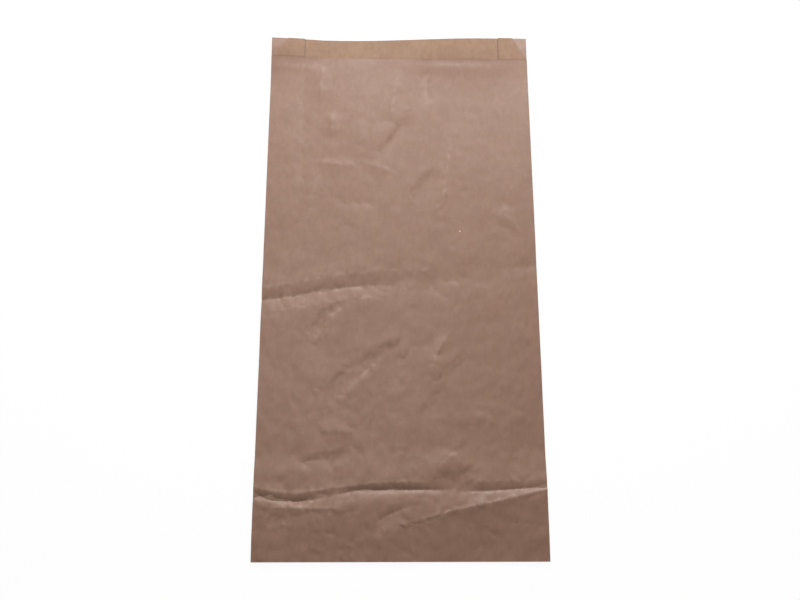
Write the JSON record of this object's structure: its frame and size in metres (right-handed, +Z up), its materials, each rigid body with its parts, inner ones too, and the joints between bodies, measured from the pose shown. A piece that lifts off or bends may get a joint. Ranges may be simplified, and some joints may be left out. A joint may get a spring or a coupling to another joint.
{
  "type": "gusseted paper bag",
  "caption": "Brown kraft paper carry-out bag with side gussets and a pasted block base, folded flat and creased, lying on its back",
  "frame": {"origin": "centre of the bounding box on the surface the folded bag lies on", "axes": "X across the bag between the side folds, Y along the bag from the folded base to the open mouth, Z up out of the front wall"},
  "size_m": [0.25, 0.5, 0.0083],
  "materials": {
    "kraft_paper": "uncoated brown kraft, machine-smooth outside and rougher inside, worn soft with creases"
  },
  "bodies": {
    "root": {"paper_bag": "kraft_paper"}
  },
  "joints": []
}
